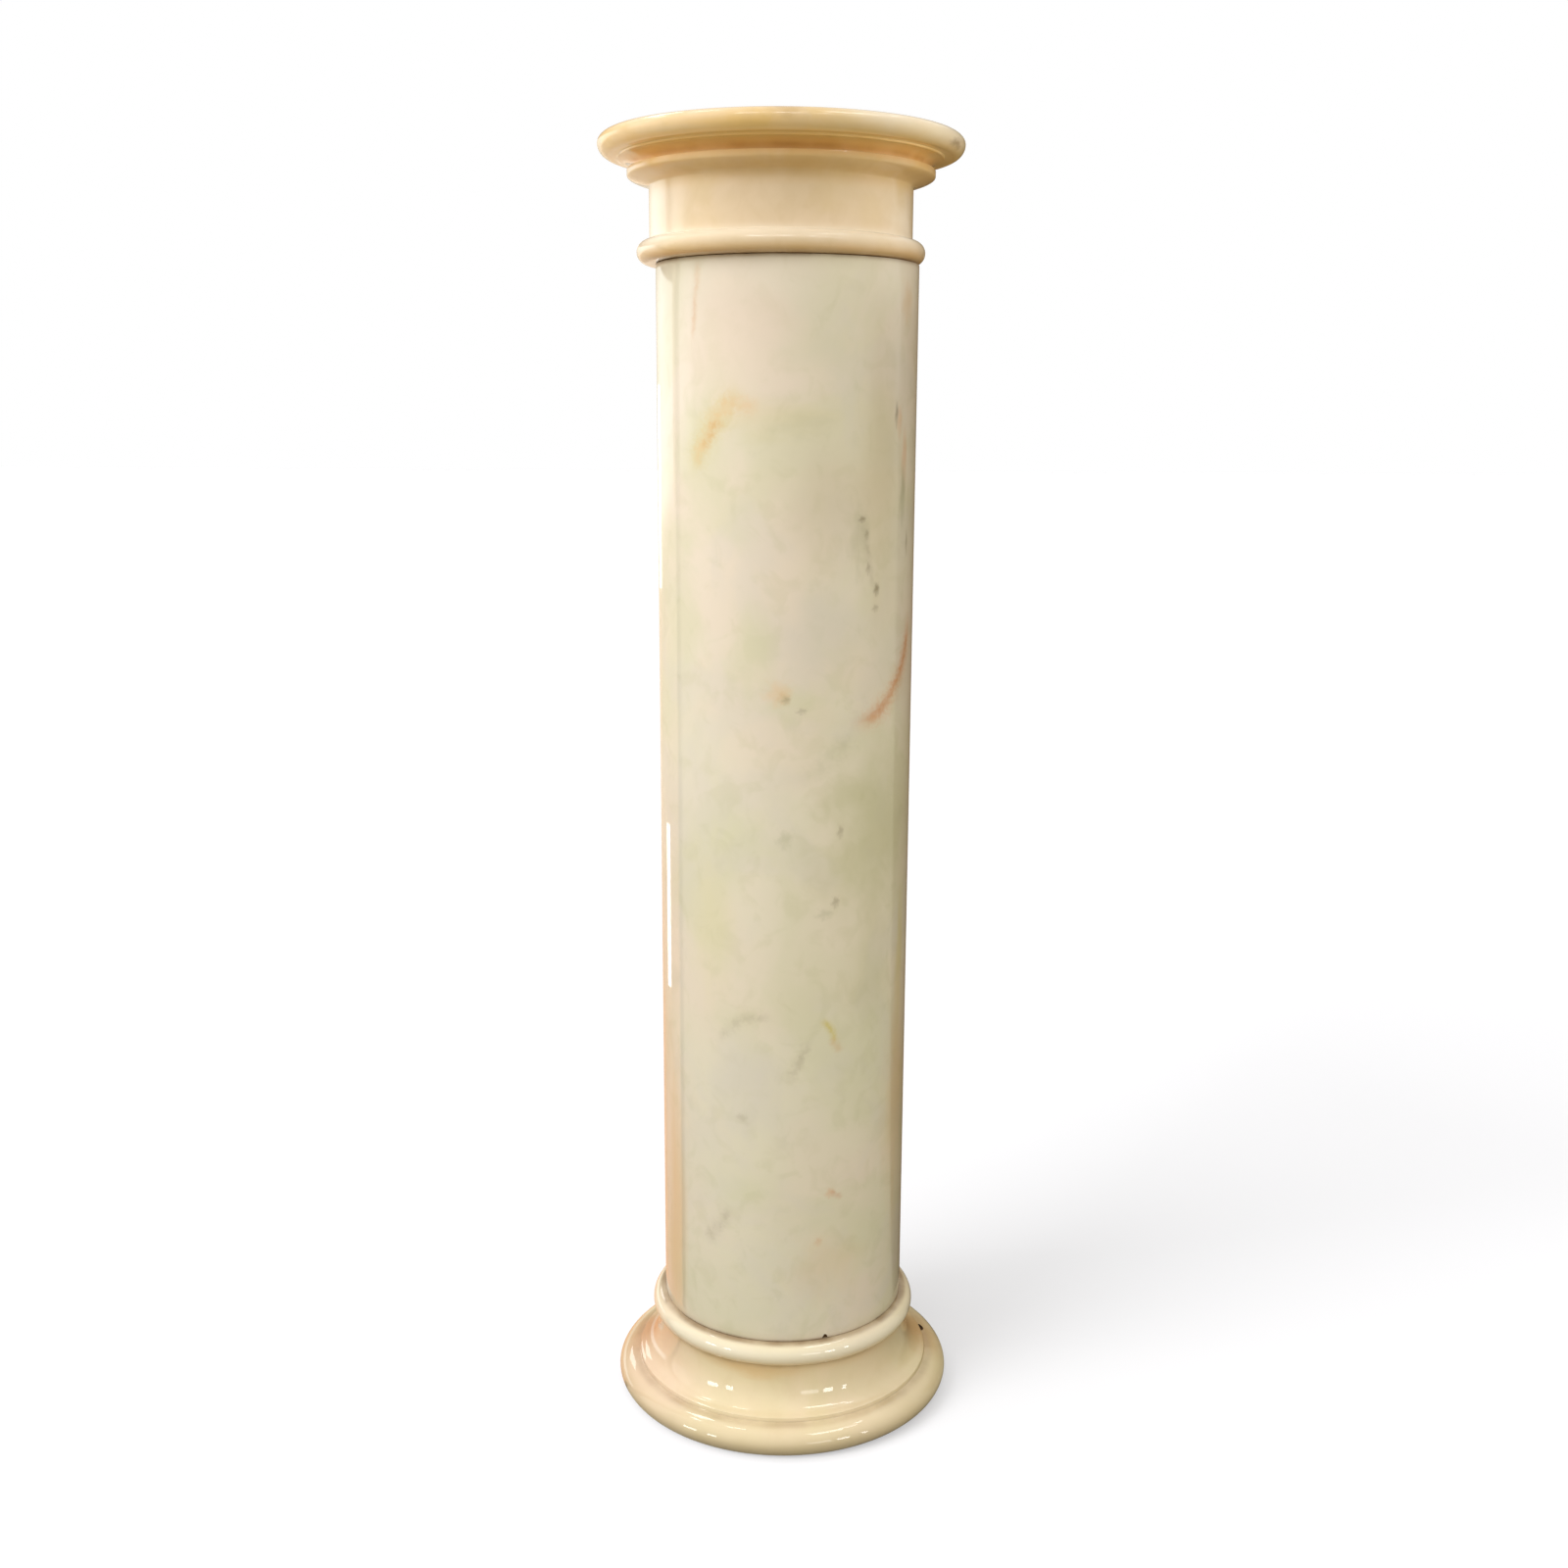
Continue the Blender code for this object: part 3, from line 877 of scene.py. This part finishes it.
def capital_marble():
    material, tree, shader, position = start_stone("capital marble", 0.06, 0.13, 0.01)
    neck_top = CAPITAL_FOOT + BEAD_HEIGHT + NECK_HEIGHT
    quirk = neck_top + OVOLO_HEIGHT + QUIRK_HEIGHT * 0.4
    slab_front = around(SLAB_RADIUS, -1, CAPITAL_TOP)
    slab_right_highlight = around(SLAB_RADIUS, 58, CAPITAL_TOP)
    slab_edge_right = around(SLAB_RADIUS, 68, CAPITAL_TOP - 0.012)
    slab_left = around(SLAB_RADIUS, -16, CAPITAL_TOP - 0.0115)
    slab_front_right_highlight = around(SLAB_RADIUS, 30, CAPITAL_TOP - 0.004)
    ovolo_left_highlight = around(SHAFT_RADIUS + 0.014, -76, CAPITAL_FOOT + 0.064)
    neck_left_highlight = around(SHAFT_RADIUS, -68, CAPITAL_FOOT + 0.03)
    neck_right_lit = around(SHAFT_RADIUS, 64, CAPITAL_FOOT + 0.026)
    height = put(tree, "ShaderNodeSeparateXYZ")
    feed(tree, height.inputs[0], position)
    honeyed = ramp(tree, height.outputs["Z"], neck_top - 0.012, neck_top + 0.010)
    colour = blend_colour(tree, honeyed, srgb(231, 209, 177), srgb(240, 207, 150))
    colour = lay_clouds(
        tree,
        position,
        colour,
        [
            (0.09, 0.53, 0.14, 4.4, 0.4, srgb(240, 216, 192)),
            (0.06, 0.56, 0.12, 8.2, 0.4, srgb(228, 204, 158)),
            (0.02, 0.58, 0.12, 6.1, 0.20, srgb(214, 186, 140)),
            (0.03, 0.54, 0.12, 2.7, 0.3, srgb(244, 222, 198)),
        ],
    )
    colour = lay_blotches(
        tree,
        position,
        colour,
        [
            (slab_front, (0.022, 0.02, 0.012), 0.6, 0.6, srgb(196, 160, 100)),
            # painted highlights: paler stone on the slab's right, which also shows on its flat top, and on
            # the neck's left
            (slab_right_highlight, (0.085, 0.085, 0.034), 0.3, 0.9, srgb(252, 238, 214)),
            (neck_left_highlight, (0.054, 0.054, 0.050), 0.3, 0.6, srgb(248, 240, 224)),
            (slab_left, (0.070, 0.070, 0.009), 0.3, 0.36, srgb(240, 190, 70)),
            # painted highlights and painted light: paler stone at the slab's front right, on the neck's
            # lit right side and at the ovolo's left end
            (slab_front_right_highlight, (0.05, 0.05, 0.014), 0.3, 0.6, srgb(250, 238, 218)),
            (neck_right_lit, (0.034, 0.034, 0.024), 0.3, 0.7, srgb(250, 236, 218)),
            (ovolo_left_highlight, (0.034, 0.034, 0.010), 0.3, 0.8, srgb(252, 236, 212)),
            (slab_edge_right, (0.02, 0.02, 0.006), 0.6, 0.5, GRIME_AND_SHADE),
        ],
    )
    colour = lay_grime_and_painted_light(
        tree,
        position,
        colour,
        [
            (CAPITAL_FOOT, 0.0026, 0.3, 0.7, GRIME_AND_SHADE),
            # painted shade: the top of the neck under the ovolo and the ovolo's underside are darkened
            (neck_top, 0.0055, 0.3, 0.5, srgb(212, 176, 120)),
            (neck_top + OVOLO_HEIGHT / 2, 0.0055, 0.2, 0.4, srgb(206, 170, 112)),
            # painted light: the slab's lower face is lightened
            (CAPITAL_TOP - 0.0175, 0.0038, 0.1, 0.8, srgb(253, 224, 152)),
            # painted shade: the bead's underside is darkened
            (CAPITAL_FOOT + 0.0030, 0.0035, 0.2, 0.5, srgb(232, 186, 118)),
            # painted highlight: a whitish line along the top of the bead
            (CAPITAL_FOOT + 0.92 * BEAD_HEIGHT, 0.0042, 0.1, 0.55, srgb(255, 246, 228)),
            # painted shade: the quirk under the slab is darkened to a saturated honey, with a dark line at
            # its deepest
            (quirk, 0.0056, 0.2, 0.8, srgb(232, 176, 98)),
            (quirk, 0.0020, 0.6, 0.25, GRIME_AND_SHADE),
        ],
    )
    feed(tree, shader.inputs["Base Color"], colour)
    return material


def broken_stone():
    material, tree, shader, position = start_stone("broken stone", 0.7, 0.95, 0.6)
    colour = lay_clouds(tree, position, DARK_GRIME, [(0.003, 0.5, 0.2, 1.1, 0.6, GRIME_AND_SHADE)])
    feed(tree, shader.inputs["Base Color"], colour)
    return material


# Pieces


def dress(piece, node, material):
    """Gives a finished piece its stone, and has it stand for its CAD node."""
    piece.data.materials.append(material)
    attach(piece, "root")
    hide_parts(node)


def build_column():
    broken = broken_stone()

    base = turned_piece("marble_base", base_profile(), 0.0, EASED_EDGE)
    dress(base, "base", base_marble())
    cove_foot = BASE_HEIGHT - BASE_ROLL_HEIGHT - BASE_LISTEL_HEIGHT - BASE_COVE_HEIGHT
    chip_radius = SHAFT_RADIUS + BASE_LIP_PROJECTION + FOOT_CHIP_SIZE[0] / 4
    chip_place = around(chip_radius, FOOT_CHIP_ANGLE, cove_foot - BASE_LIP_HEIGHT)
    chip_turn = math.radians(FOOT_CHIP_ANGLE - 90)
    chip(base, chip_lump("foot chip", FOOT_CHIP_SIZE, chip_place, chip_turn, broken))
    polish(base)

    shaft = turned_piece("marble_shaft", shaft_profile(), 0.0, SHAFT_ARRIS)
    dress(shaft, "shaft", shaft_marble())
    nick_place = around(SHAFT_RADIUS, SHAFT_CHIP_ANGLE, SHAFT_FOOT)
    nick_turn = math.radians(SHAFT_CHIP_ANGLE - 90)
    chip(shaft, chip_lump("shaft chip", SHAFT_CHIP_SIZE, nick_place, nick_turn, broken))
    polish(shaft)

    capital = turned_piece("marble_capital", capital_profile(), CAPITAL_CENTRE, EASED_EDGE)
    dress(capital, "capital", capital_marble())
    polish(capital)


# Studio

CAMERA_LENS = 39.13
CAMERA_SENSOR = 36.0
CAMERA_PLACE = (-0.0008, -1.348, 0.8015)
CAMERA_PITCH = 11.85
CAMERA_ROLL = 0.264

# The mirrored room's window and the dark frame beside it, in radians left of straight back
WINDOW_START = 0.03
WINDOW_EDGE = 1.07
FRAME_NEAR = 1.13
FRAME_FAR = 1.25
DIM_PANE = 0.2
BRIGHT_PANE = 0.75

# Lamps that only show as small reflections. Those in front: bearing, breadth and radiance
FRONT_LAMPS = (
    (2.10, 0.17, 9.0),
    (2.37, 0.11, 9.0),
    (-2.74, 0.26, 3.0),
    (-2.47, 0.14, 9.0),
    (-2.22, 0.06, 9.0),
)
FRONT_LAMP_DISTANCE = 1.5
FRONT_LAMP_HEIGHT = 0.36
FRONT_LAMP_DEPTH = 0.28
FRONT_LAMP_AIM = (0.0, 0.0, 0.2)
# Those that the capital's bead mirrors: place across and length
CAPITAL_LAMPS = ((-0.55, 0.5), (0.10, 0.5), (0.75, 0.25), (1.30, 0.30), (1.75, 0.12))
CAPITAL_LAMP_DISTANCE = 1.5
CAPITAL_LAMP_HEIGHT = 2.1
CAPITAL_LAMP_DEPTH = 0.20
CAPITAL_LAMP_RADIANCE = 9.0
# Those on the ceiling: place across, place along, length, depth and turn
CEILING_LAMPS = (
    (-0.86, 1.18, 0.45, 0.36, 24),
    (-0.60, 0.34, 0.30, 0.16, 0),
    (-1.29, 0.50, 0.20, 0.30, 0),
    (0.77, -0.42, 0.66, 0.32, 37),
    (1.05, 0.53, 0.12, 0.30, 0),
    (1.05, 0.00, 0.40, 0.16, 40),
)
CEILING_HEIGHT = 2.5
CEILING_RADIANCE = 7.0


def set_camera():
    lens = bpy.data.cameras.new("camera")
    lens.lens = CAMERA_LENS
    lens.sensor_width = CAMERA_SENSOR
    camera = bpy.data.objects.new("camera", lens)
    tilt = Matrix.Rotation(math.radians(90 - CAMERA_PITCH), 4, "X")
    roll = Matrix.Rotation(math.radians(CAMERA_ROLL), 4, "Z")
    camera.matrix_world = Matrix.Translation(CAMERA_PLACE) @ tilt @ roll
    bpy.context.scene.collection.objects.link(camera)
    bpy.context.scene.camera = camera


def bearing_about(tree, vector, start):
    """How far left of straight back a direction or a place on the floor lies, in radians."""
    away = put(tree, "ShaderNodeVectorMath", operation="SUBTRACT")
    feed(tree, away.inputs[0], vector)
    feed(tree, away.inputs[1], start)
    parts = put(tree, "ShaderNodeSeparateXYZ")
    feed(tree, parts.inputs[0], away.outputs[0])
    leftwards = calculate(tree, "MULTIPLY", parts.outputs["X"], -1.0)
    return calculate(tree, "ARCTAN2", leftwards, parts.outputs["Y"]), parts


def between(tree, value, low, high, softness):
    """One between two values, zero outside them."""
    rising = ramp(tree, value, low - softness, low + softness)
    falling = ramp(tree, value, high - softness, high + softness, 1.0, 0.0)
    return calculate(tree, "MULTIPLY", rising, falling)


def light(red, green, blue):
    """A colour given as light values."""
    return (red, green, blue, 1.0)


FLOOR_SIZE = 30.0
# Where the strip that the shaft's left edge mirrors begins on the floor
STRIP_START = (-0.083, -0.056, 0.0)


def lay_floor():
    """A pale floor: white to the camera, warmer where the stone mirrors it, orange at the back left."""
    form = bmesh.new()
    bmesh.ops.create_grid(form, x_segments=2, y_segments=2, size=FLOOR_SIZE)
    mesh = bpy.data.meshes.new("studio_floor")
    form.to_mesh(mesh)
    form.free()
    floor = bpy.data.objects.new("studio_floor", mesh)
    bpy.context.scene.collection.objects.link(floor)
    material = bpy.data.materials.new("studio floor")
    material.use_nodes = True
    tree = material.node_tree
    shader = tree.nodes["Principled BSDF"]
    shader.inputs["Roughness"].default_value = 1.0
    shader.inputs["Specular IOR Level"].default_value = 0.0
    shader.inputs["Emission Strength"].default_value = 1.0
    path = put(tree, "ShaderNodeLightPath")
    glossy = path.outputs["Is Glossy Ray"]
    to_camera = path.outputs["Is Camera Ray"]
    place = put(tree, "ShaderNodeTexCoord").outputs["Object"]
    bearing, parts = bearing_about(tree, place, STRIP_START)

    far = ramp(tree, parts.outputs["Y"], 0.5, 2.6)
    orange = blend_colour(tree, far, srgb(212, 160, 120), srgb(218, 196, 172))
    back_left = between(tree, bearing, 0.0, FRAME_NEAR, 0.01)
    frame_foot = between(tree, bearing, FRAME_NEAR, FRAME_FAR, 0.01)
    back_right = between(tree, bearing, -1.1, 0.0, 0.05)
    mirrored = blend_colour(tree, back_left, srgb(176, 166, 142), orange)
    mirrored = blend_colour(tree, frame_foot, mirrored, srgb(70, 50, 34))
    mirrored = blend_colour(tree, back_right, mirrored, srgb(92, 70, 44))

    distance = put(tree, "ShaderNodeVectorMath", operation="LENGTH")
    feed(tree, distance.inputs[0], place)
    away = ramp(tree, distance.outputs["Value"], 0.25, 1.2)
    lighting = blend_colour(tree, away, srgb(86, 78, 60), srgb(156, 149, 126))
    bounced = blend_colour(tree, glossy, lighting, mirrored)
    colour = blend_colour(tree, to_camera, bounced, light(0.38, 0.38, 0.39))
    feed(tree, shader.inputs["Base Color"], colour)

    dark = light(0.0, 0.0, 0.0)
    below_window = between(tree, bearing, WINDOW_START, WINDOW_EDGE, 0.02)
    very_far = ramp(tree, parts.outputs["Y"], 4.0, 16.0)
    brighter = ramp(tree, bearing, DIM_PANE, BRIGHT_PANE)
    sheen = blend_colour(tree, brighter, light(0.3, 0.3, 0.27), light(1.1, 1.05, 0.95))
    sheen = blend_colour(tree, calculate(tree, "MULTIPLY", below_window, very_far), dark, sheen)
    glow = blend_colour(tree, glossy, dark, sheen)
    glow = blend_colour(tree, to_camera, glow, light(0.45, 0.45, 0.46))
    feed(tree, shader.inputs["Emission Color"], glow)
    mesh.materials.append(material)


def set_world():
    """White where the camera looks past the column; a soft room to light it; a window to mirror."""
    world = bpy.data.worlds.new("studio")
    world.use_nodes = True
    tree = world.node_tree
    path = put(tree, "ShaderNodeLightPath")
    direction = put(tree, "ShaderNodeTexCoord").outputs["Generated"]
    bearing, parts = bearing_about(tree, direction, (0.0, 0.0, 0.0))
    rightwards = ramp(tree, parts.outputs["X"], -1.0, 1.0)

    right_of_back = between(tree, bearing, -1.35, -0.1, 0.2)
    left_of_back = between(tree, bearing, 0.1, 1.5, 0.2)
    in_front = ramp(tree, parts.outputs["Y"], -0.9, -0.3, 1.0, 0.0)
    raised = ramp(tree, parts.outputs["Z"], 0.15, 0.9)
    overhead = blend_colour(tree, rightwards, light(0.94, 0.94, 0.94), light(0.76, 0.74, 0.68))
    room = blend_colour(tree, rightwards, light(0.42, 0.41, 0.38), light(0.52, 0.48, 0.38))
    room = blend_colour(tree, right_of_back, room, light(0.20, 0.17, 0.10))
    room = blend_colour(tree, left_of_back, room, light(0.20, 0.15, 0.10))
    room = blend_colour(tree, in_front, room, light(0.66, 0.63, 0.53))
    room = blend_colour(tree, raised, room, overhead)

    beside_frame = between(tree, bearing, FRAME_FAR, 1.55, 0.04)
    back = ramp(tree, parts.outputs["Y"], -0.2, 0.4)
    high = ramp(tree, parts.outputs["Z"], 0.30, 0.65)
    high_back = calculate(tree, "MULTIPLY", high, back)
    back_right = between(tree, bearing, -1.1, -0.05, 0.06)
    back_left = between(tree, bearing, 0.0, WINDOW_EDGE, 0.03)
    frame_edge = between(tree, bearing, WINDOW_EDGE, FRAME_NEAR, 0.01)
    dark_frame = between(tree, bearing, FRAME_NEAR, FRAME_FAR, 0.01)
    mirrored = blend_colour(tree, beside_frame, light(0.62, 0.60, 0.52), light(1.20, 1.15, 1.02))
    mirrored = blend_colour(tree, back_right, mirrored, srgb(112, 92, 62))
    mirrored = blend_colour(tree, back_left, mirrored, light(0.42, 0.32, 0.22))
    mirrored = blend_colour(tree, high_back, mirrored, light(0.95, 0.93, 0.88))
    mirrored = blend_colour(tree, frame_edge, mirrored, light(0.95, 0.72, 0.56))
    mirrored = blend_colour(tree, dark_frame, mirrored, light(0.12, 0.08, 0.06))

    pane_breadth = between(tree, bearing, WINDOW_START, WINDOW_EDGE, 0.01)
    pane_height = between(tree, parts.outputs["Z"], -0.03, 0.175, 0.01)
    window = calculate(tree, "MULTIPLY", pane_breadth, pane_height)
    brighter = ramp(tree, bearing, DIM_PANE, BRIGHT_PANE)
    pane = blend_colour(tree, brighter, light(0.86, 0.78, 0.64), light(1.8, 1.8, 1.7))
    mirrored = blend_colour(tree, window, mirrored, pane)
    seen = blend_colour(tree, path.outputs["Is Glossy Ray"], room, mirrored)
    seen = blend_colour(tree, path.outputs["Is Camera Ray"], seen, light(1.0, 1.0, 1.0))
    feed(tree, tree.nodes["Background"].inputs["Color"], seen)
    bpy.context.scene.world = world


def panel(name, place, target, size, radiance, mirrored, receiver=None):
    """A rectangular lamp that either only lights the stone or only shows as a reflection."""
    source = bpy.data.lights.new(name, "AREA")
    source.shape = "RECTANGLE"
    source.size, source.size_y = size
    source.energy = radiance * math.pi * size[0] * size[1]
    lamp = bpy.data.objects.new(name, source)
    facing = (Vector(target) - Vector(place)).to_track_quat("-Z", "Y")
    lamp.matrix_world = Matrix.Translation(place) @ facing.to_matrix().to_4x4()
    lamp.visible_camera = False
    lamp.visible_diffuse = not mirrored
    lamp.visible_glossy = mirrored
    bpy.context.scene.collection.objects.link(lamp)
    lamp.light_linking.receiver_collection = receiver
    return lamp


def receivers(name, *pieces):
    """The pieces that a lamp reaches."""
    group = bpy.data.collections.new(name)
    for piece in pieces:
        group.objects.link(bpy.data.objects[piece])
    return group


def set_lights():
    """Soft light from the left and front, and the lamps that the polished stone mirrors."""
    lit_floor = receivers("lit floor", "studio_floor")
    lit_base = receivers("lit base", "marble_base")
    lit_shaft = receivers("lit shaft", "marble_shaft")
    lit_capital = receivers("lit capital", "marble_capital")
    lit_mouldings = receivers("lit mouldings", "marble_base", "marble_capital")
    for name, energy, spread, travel, receiver in (
        ("floor key", 3.0, 32, (0.80, 0.60, -0.70), lit_floor),
        ("low key", 0.28, 45, (0.966, 0.259, -0.70), None),
        ("high key", 0.94, 40, (0.10, 0.70, -0.71), None),
    ):
        sun = bpy.data.lights.new(name, "SUN")
        sun.energy = energy
        sun.angle = math.radians(spread)
        key = bpy.data.objects.new(name, sun)
        key.rotation_euler = Vector(travel).to_track_quat("-Z", "Y").to_euler()
        key.visible_glossy = False
        bpy.context.scene.collection.objects.link(key)
        key.light_linking.receiver_collection = receiver

    panel("side light", (-0.95, -0.17, 1.12), (0.0, 0.0, 0.85), (0.5, 0.5), 5.5, False)
    beam = panel("top right light", (0.48, -0.26, 0.96), (0.0, 0.0, 0.966), (0.12, 0.04), 1.2, False)
    beam.data.spread = math.radians(26)

    for name, place, target, size, radiance, receiver in (
        ("low window", (-0.77, 0.70, 0.142), (0.0, 0.0, 0.3), (0.16, 0.23), 3.4, lit_shaft),
        ("back window", (-1.15, 1.95, 1.15), (0.0, 0.0, 0.1), (0.40, 0.40), 3.0, lit_base),
        ("middle window", (-0.74, 1.45, 0.70), (0.0, 0.0, 0.9), (0.34, 0.34), 1.6, lit_shaft),
    ):
        panel(name, place, target, size, radiance, True, receiver)
    for bearing, breadth, radiance in FRONT_LAMPS:
        across = -FRONT_LAMP_DISTANCE * math.sin(bearing)
        along = FRONT_LAMP_DISTANCE * math.cos(bearing)
        size = (FRONT_LAMP_DISTANCE * breadth, FRONT_LAMP_DEPTH)
        place = (across, along, FRONT_LAMP_HEIGHT)
        panel(f"front lamp {bearing}", place, FRONT_LAMP_AIM, size, radiance, True, lit_base)
    for across, length in CAPITAL_LAMPS:
        place = (across, -CAPITAL_LAMP_DISTANCE, CAPITAL_LAMP_HEIGHT)
        size = (length, CAPITAL_LAMP_DEPTH)
        aim = (0.0, 0.0, CAPITAL_FOOT)
        panel(f"capital lamp {across}", place, aim, size, CAPITAL_LAMP_RADIANCE, True, lit_capital)
    for across, along, length, depth, turn in CEILING_LAMPS:
        place = (across, along, CEILING_HEIGHT)
        aim = (across, along, 0.0)
        name = f"ceiling lamp {across}"
        lamp = panel(name, place, aim, (length, depth), CEILING_RADIANCE, True, lit_mouldings)
        lamp.rotation_euler = (0.0, 0.0, math.radians(turn))


build_column()
set_camera()
lay_floor()
set_world()
set_lights()
bpy.context.scene.view_settings.view_transform = "Standard"
